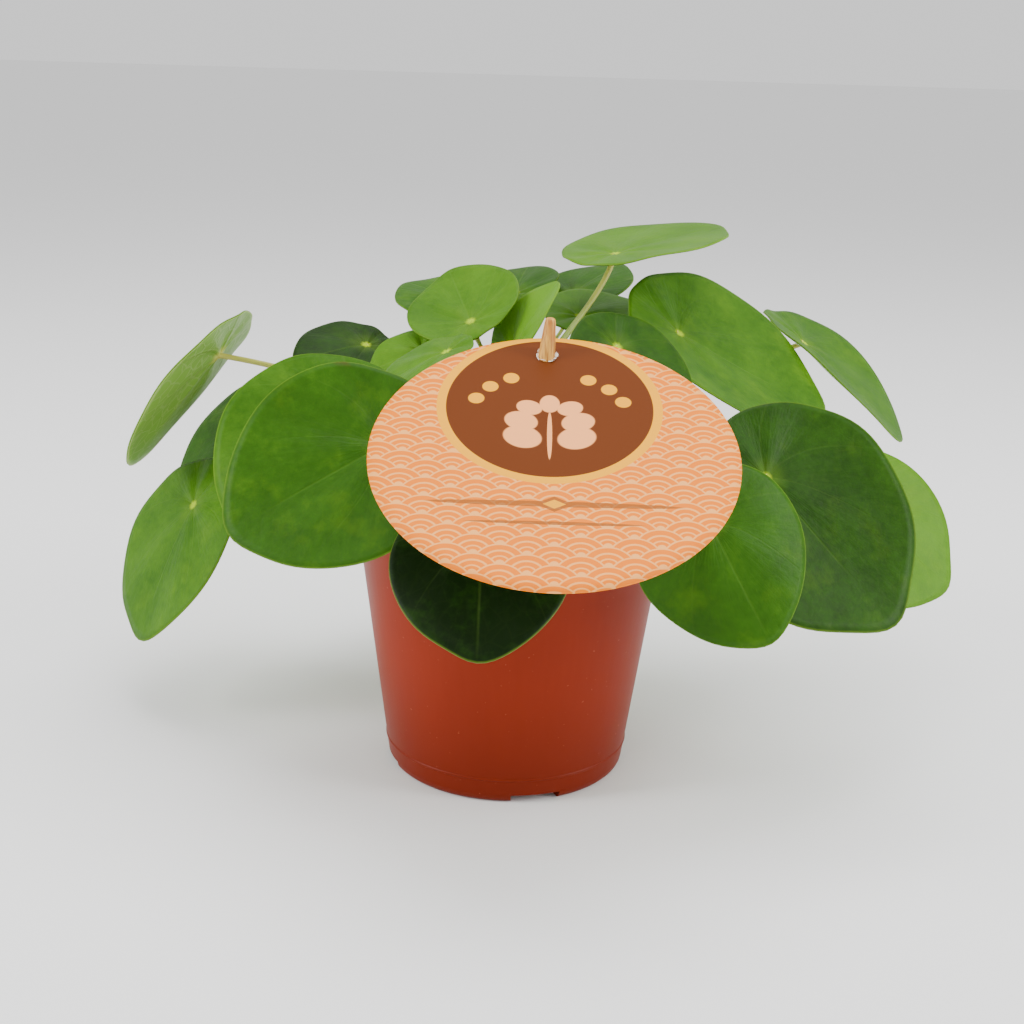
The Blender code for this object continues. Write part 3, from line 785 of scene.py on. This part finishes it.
def build_blade(leaf, upper, under):
    name, place, pose, length, curl, tone = leaf
    joint, size, curl = leaf_joint(place), (length, length * ROUNDNESS), CURLS[curl]
    s = settings("leaf")
    sway = sum(place) * 0.37
    rings, steps = 16, 96
    bm = bmesh.new()
    chain = [bm.verts.new((0, 0, 0))] + [bm.verts.new((k / rings, 0, 0))
                                         for k in range(1, rings + 1)]
    edges = [bm.edges.new(pair) for pair in zip(chain, chain[1:])]
    bmesh.ops.spin(bm, geom=chain + edges, cent=(0, 0, 0), axis=(0, 0, 1), angle=math.tau,
                   steps=steps, use_merge=True)
    bmesh.ops.remove_doubles(bm, verts=bm.verts, dist=0.0001)
    reach_layer = bm.verts.layers.float.new("reach")
    tone_and_shade_layer = bm.verts.layers.float.new("tone")
    blemish_layer = bm.verts.layers.float.new("blemish")
    flat = bm.loops.layers.uv.new("Blade")
    tip, side, up = blade_axes(*pose)
    spot = BLEMISHES.get(name)
    spot_at = blade_point(size, curl, math.radians(spot[1]), spot[0], sway) if spot else None
    local = {}
    for vert in bm.verts:
        reach = min(1.0, vert.co.length)
        turn = math.atan2(vert.co.y, vert.co.x)
        p = blade_point(size, curl, turn, reach, sway)
        vert[reach_layer] = reach
        vert[tone_and_shade_layer] = tone
        vert[blemish_layer] = (max(0.0, 1 - (p - spot_at).length / spot[2]) ** 0.5
                               if spot else 0.0)
        local[vert.index] = p.copy()
        wave = s.wave / MM * reach ** 2 * math.sin(3 * turn + sway) * 0.6
        wave += s.wave / MM * reach ** 4 * math.sin(7 * turn + 2.3 * sway) * 0.4
        dimple = -0.9 * math.exp(-(p.length / 4.5) ** 2)
        quilt = 0.35 * reach * (1 - reach) * 4 * math.cos(7 * turn + math.pi)
        p.z += wave + dimple + quilt
        vert.co = (joint + tip * p.x + side * p.y + up * p.z) * MM
    bm.verts.index_update()
    for face in bm.faces:
        for loop in face.loops:
            p = local[loop.vert.index]
            loop[flat].uv = (p.x / 100, p.y / 100)
    bmesh.ops.recalc_face_normals(bm, faces=bm.faces)
    if sum((f.normal.dot(up) for f in bm.faces)) < 0:
        bmesh.ops.reverse_faces(bm, faces=bm.faces)
    blade = finish_piece(f"blade_{name}", bm, [upper, under], [f"leaf_{name}"], 80.0)
    shell = blade.modifiers.new("Thickness", "SOLIDIFY")
    shell.thickness = s.thickness
    shell.offset = 0.0
    shell.use_even_offset = True
    shell.material_offset = 1


def stalk_route(leaf, node, radius, count):
    name, place, pose = leaf[:3]
    habit = {**STALK_HABIT, **STALK_CHANGES.get(name, {})}
    tip, _, up = blade_axes(*pose)
    joint = leaf_joint(place)
    root = stem_axis(node)
    out = joint - root
    heading = math.atan2(out.y, out.x) + math.radians(habit["swing"])
    slope = math.atan2(out.z, out.to_2d().length)
    rise = math.radians(STALK_RISE + habit["higher"]) + slope / 2
    level = Vector((math.cos(heading), math.sin(heading), 0))
    leave = level * math.cos(rise) + Vector((0, 0, math.sin(rise)))
    start = root + level * (stem_radius(node) + 0.3 + radius * math.sin(rise))
    arrive = (0.8 * up + habit["lean"] * tip).normalized()
    end = joint - up * 0.85 - arrive * radius * 0.6
    span = (end - start).length
    knots = (start, start + leave * span * habit["start"], end - arrive * span * habit["end"], end)
    points = [start - leave * 1.6]
    for i in range(count):
        t = i / (count - 1)
        weights = ((1 - t) ** 3, 3 * t * (1 - t) ** 2, 3 * t * t * (1 - t), t ** 3)
        points.append(sum((w * k for w, k in zip(weights, knots)), Vector()))
    points.append(joint - up * 0.9)
    return points


def build_stalk(leaf, node, skin):
    big = leaf[3] > LARGE_LEAF
    thick, thin = (1.45, 1.05) if big else (1.05, 0.75)
    points = stalk_route(leaf, node, 1.5 if big else 1.1, 26)
    count = len(points)
    radii = [thick + (thin - thick) * min(1.0, 1.6 * i / (count - 1)) for i in range(count)]
    radii[0] = radii[1] = thick * 1.12
    radii[-1] = thin * 1.35
    bm = grown_tube(points, radii, 14)
    tone_and_shade_layer = bm.verts.layers.float.new("tone")
    for v in bm.verts:
        v[tone_and_shade_layer] = leaf[-1]
    finish_piece(f"stalk_skin_{leaf[0]}", bm, [skin], [f"stalk_{leaf[0]}"], 60.0)


def build_leaves():
    upper, under, skin = leaf_upper(), leaf_under(), stalk_skin()
    for order, leaf in enumerate(LEAVES):
        build_blade(leaf, upper, under)
        build_stalk(leaf, NODE_LOW + NODE_STEP * order, skin)


def card_matrix():
    return (Matrix.Translation(CARD_CENTRE * MM)
            @ Matrix.Rotation(math.radians(CARD_TILT), 4, "X"))


def build_card():
    s = settings("card")
    bm = bmesh.new()
    rings, steps = 12, 120
    chain = [bm.verts.new((0, 0, 0))] + [bm.verts.new((s.radius * k / rings, 0, 0))
                                         for k in range(1, rings + 1)]
    edges = [bm.edges.new(pair) for pair in zip(chain, chain[1:])]
    bmesh.ops.spin(bm, geom=chain + edges, cent=(0, 0, 0), axis=(0, 0, 1), angle=math.tau,
                   steps=steps, use_merge=True)
    bmesh.ops.remove_doubles(bm, verts=bm.verts, dist=0.01 * MM)
    flat = bm.loops.layers.uv.new("Card")
    for face in bm.faces:
        for loop in face.loops:
            co = loop.vert.co
            loop[flat].uv = (co.x / MM / 100, co.y / MM / 100)
    bmesh.ops.recalc_face_normals(bm, faces=bm.faces)
    if sum(f.normal.z for f in bm.faces) < 0:
        bmesh.ops.reverse_faces(bm, faces=bm.faces)
    bmesh.ops.transform(bm, matrix=card_matrix(), verts=bm.verts)
    board = card_board()
    card = finish_piece("card_sheet", bm, [card_print(), board], ["care_card"], 30.0)
    shell = card.modifiers.new("Thickness", "SOLIDIFY")
    shell.thickness = 0.5 * MM
    shell.offset = 0.0
    shell.material_offset = 1

    rng = random.Random(5)
    axis = (STICK_TOP - STICK_FOOT).normalized()
    normal = (card_matrix().to_3x3() @ Vector((0, 0, 1))).normalized()
    share = (CARD_CENTRE + normal * 0.3 - STICK_FOOT).dot(normal) / axis.dot(normal)
    hole = STICK_FOOT + axis * share
    bm = bmesh.new()
    for k in range(15):
        a = math.tau * k / 15 + rng.uniform(-0.15, 0.15)
        size = rng.uniform(0.5, 1.1)
        out = card_matrix().to_3x3() @ Vector((math.cos(a), math.sin(a), 0))
        centre = hole + out * (STICK_RADIUS + rng.uniform(0.0, 0.5)) + normal * rng.uniform(0, 0.4)
        turn = (Matrix.Rotation(math.radians(CARD_TILT) + rng.uniform(-0.6, 0.6), 4, "X")
                @ Matrix.Rotation(a, 4, "Z") @ Matrix.Rotation(rng.uniform(-0.9, -0.2), 4, "Y"))
        place = (Matrix.Translation(centre * MM) @ turn
                 @ Matrix.Diagonal((size * MM * 0.8, size * MM, 0.12 * MM, 1)))
        bmesh.ops.create_icosphere(bm, subdivisions=1, radius=1.0, matrix=place)
    finish_piece("card_torn_bits", bm, [board], [], 30.0)


def build_stick():
    axis = STICK_TOP - STICK_FOOT
    length = axis.length
    profile = [(0.0, 0.0), (STICK_RADIUS * 0.9, 0.2), (STICK_RADIUS, 1.0)]
    profile += [(STICK_RADIUS, length - STICK_TIP_LENGTH), (STICK_RADIUS - 0.1, length - 12.0),
                (STICK_RADIUS - 0.45, length - 7.0), (STICK_RADIUS - 0.95, length - 1.6),
                (STICK_RADIUS - 1.15, length - 0.6), (STICK_RADIUS - 1.5, length - 0.15),
                (STICK_RADIUS - 1.9, length), (0.0, length - 0.1)]
    bm = bmesh.new()
    chain = [bm.verts.new((r * MM, 0, z * MM)) for r, z in profile]
    edges = [bm.edges.new(pair) for pair in zip(chain, chain[1:])]
    bmesh.ops.spin(bm, geom=chain + edges, cent=(0, 0, 0), axis=(0, 0, 1), angle=math.tau,
                   steps=32, use_merge=True)
    bmesh.ops.remove_doubles(bm, verts=bm.verts, dist=0.005 * MM)
    bmesh.ops.recalc_face_normals(bm, faces=bm.faces)
    place = (Matrix.Translation(STICK_FOOT * MM)
             @ Vector((0, 0, 1)).rotation_difference(axis).to_matrix().to_4x4())
    bmesh.ops.transform(bm, matrix=place, verts=bm.verts)
    finish_piece("stick_peg", bm, [stick_wood()], ["card_stick"], 50.0)


# --- stage ---

CAMERA_PLACE = Vector((0.0, -519.0, 248.5))
CAMERA_DIP = 16.6
CAMERA_ROLL = 1.7
LENS = 52.7


def area_light(name, place, target, size, power):
    data = bpy.data.lights.new(name, "AREA")
    data.shape = "RECTANGLE"
    data.size, data.size_y = size
    data.energy = power * settings("stage").light
    lamp = bpy.data.objects.new(name, data)
    lamp.location = place
    lamp.rotation_euler = (Vector(target) - Vector(place)).to_track_quat("-Z", "Y").to_euler()
    bpy.context.scene.collection.objects.link(lamp)


def build_stage():
    scene = bpy.context.scene
    bm = bmesh.new()
    bmesh.ops.create_grid(bm, x_segments=2, y_segments=2, size=40.0)
    mesh = bpy.data.meshes.new("floor")
    bm.to_mesh(mesh)
    bm.free()
    f = Finish("pale floor")
    mesh.materials.append(f.surface(colour=tuple(settings("stage").floor), roughness=0.9,
                                    specular=0.1))
    floor = bpy.data.objects.new("floor", mesh)
    scene.collection.objects.link(floor)

    world = bpy.data.worlds.new("studio")
    world.use_nodes = True
    world.node_tree.nodes["Background"].inputs[0].default_value = (1, 1, 1, 1)
    world.node_tree.nodes["Background"].inputs[1].default_value = 1.0
    scene.world = world
    middle = (0, 0, 0.1)
    area_light("top softbox", (0.1, 0.1, 1.3), middle, (1.0, 1.0), 13.0)
    area_light("left softbox", (-1.1, -0.35, 0.55), middle, (0.35, 1.0), 14.0)
    area_light("right softbox", (1.1, -0.35, 0.55), middle, (0.35, 1.0), 14.0)

    data = bpy.data.cameras.new("camera")
    data.lens = LENS
    data.sensor_width = 36.0
    camera = bpy.data.objects.new("camera", data)
    dip, roll = math.radians(CAMERA_DIP), math.radians(CAMERA_ROLL)
    ahead = Vector((0, math.cos(dip), -math.sin(dip)))
    upright = Vector((0, math.sin(dip), math.cos(dip)))
    right = Vector((1, 0, 0)) * math.cos(roll) + upright * math.sin(roll)
    up = upright * math.cos(roll) - Vector((1, 0, 0)) * math.sin(roll)
    camera.matrix_world = (Matrix.Translation(CAMERA_PLACE * MM)
                           @ Matrix((right, up, -ahead)).transposed().to_4x4())
    scene.collection.objects.link(camera)
    scene.camera = camera


# --- operators and panel ---

class PlantOperator:
    bl_options = {"REGISTER", "UNDO"}


class MONEYPLANT_OT_pot(PlantOperator, bpy.types.Operator):
    """Makes the moulded pot with its foot, notches and drained floor"""
    bl_idname = "money_plant.pot"
    bl_label = "Pot"

    def execute(self, context):
        build_pot()
        return {"FINISHED"}


class MONEYPLANT_OT_soil(PlantOperator, bpy.types.Operator):
    """Fills the pot with peat"""
    bl_idname = "money_plant.soil"
    bl_label = "Soil"

    def execute(self, context):
        build_soil()
        return {"FINISHED"}


class MONEYPLANT_OT_stem(PlantOperator, bpy.types.Operator):
    """Grows the main stem"""
    bl_idname = "money_plant.stem"
    bl_label = "Main stem"

    def execute(self, context):
        build_stem()
        return {"FINISHED"}


class MONEYPLANT_OT_leaves(PlantOperator, bpy.types.Operator):
    """Grows every leaf: its blade and its stalk"""
    bl_idname = "money_plant.leaves"
    bl_label = "Leaves"

    def execute(self, context):
        build_leaves()
        return {"FINISHED"}


class MONEYPLANT_OT_card(PlantOperator, bpy.types.Operator):
    """Makes the printed card and the torn board round its hole"""
    bl_idname = "money_plant.card"
    bl_label = "Card"

    def execute(self, context):
        build_card()
        return {"FINISHED"}


class MONEYPLANT_OT_stick(PlantOperator, bpy.types.Operator):
    """Makes the wooden stick that carries the card"""
    bl_idname = "money_plant.stick"
    bl_label = "Stick"

    def execute(self, context):
        build_stick()
        return {"FINISHED"}


class MONEYPLANT_OT_stage(PlantOperator, bpy.types.Operator):
    """Sets the floor, the light and the camera"""
    bl_idname = "money_plant.stage"
    bl_label = "Stage"

    def execute(self, context):
        build_stage()
        return {"FINISHED"}


OPERATORS = (MONEYPLANT_OT_pot, MONEYPLANT_OT_soil, MONEYPLANT_OT_stem, MONEYPLANT_OT_leaves,
             MONEYPLANT_OT_card, MONEYPLANT_OT_stick, MONEYPLANT_OT_stage)


class MONEYPLANT_PT_panel(bpy.types.Panel):
    bl_label = "Money Plant"
    bl_idname = "MONEYPLANT_PT_panel"
    bl_space_type = "VIEW_3D"
    bl_region_type = "UI"
    bl_category = "Money Plant"

    def draw(self, context):
        for kind, group in SETTINGS.items():
            box = self.layout.box()
            box.label(text=kind.capitalize())
            for name in group.__annotations__:
                box.prop(settings(kind), name)
        for operator in OPERATORS:
            self.layout.operator(operator.bl_idname)


def register():
    for group in SETTINGS.values():
        bpy.utils.register_class(group)
    for operator in OPERATORS:
        bpy.utils.register_class(operator)
    bpy.utils.register_class(MONEYPLANT_PT_panel)
    for kind, group in SETTINGS.items():
        setattr(bpy.types.Scene, f"money_plant_{kind}", PointerProperty(type=group))


def unregister():
    for kind in SETTINGS:
        delattr(bpy.types.Scene, f"money_plant_{kind}")
    bpy.utils.unregister_class(MONEYPLANT_PT_panel)
    for cls in reversed((*SETTINGS.values(), *OPERATORS)):
        bpy.utils.unregister_class(cls)


def main():
    register()
    bpy.ops.money_plant.pot()
    bpy.ops.money_plant.soil()
    bpy.ops.money_plant.stem()
    bpy.ops.money_plant.leaves()
    bpy.ops.money_plant.card()
    bpy.ops.money_plant.stick()
    bpy.ops.money_plant.stage()
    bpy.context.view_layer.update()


if __name__ == "__main__":
    main()
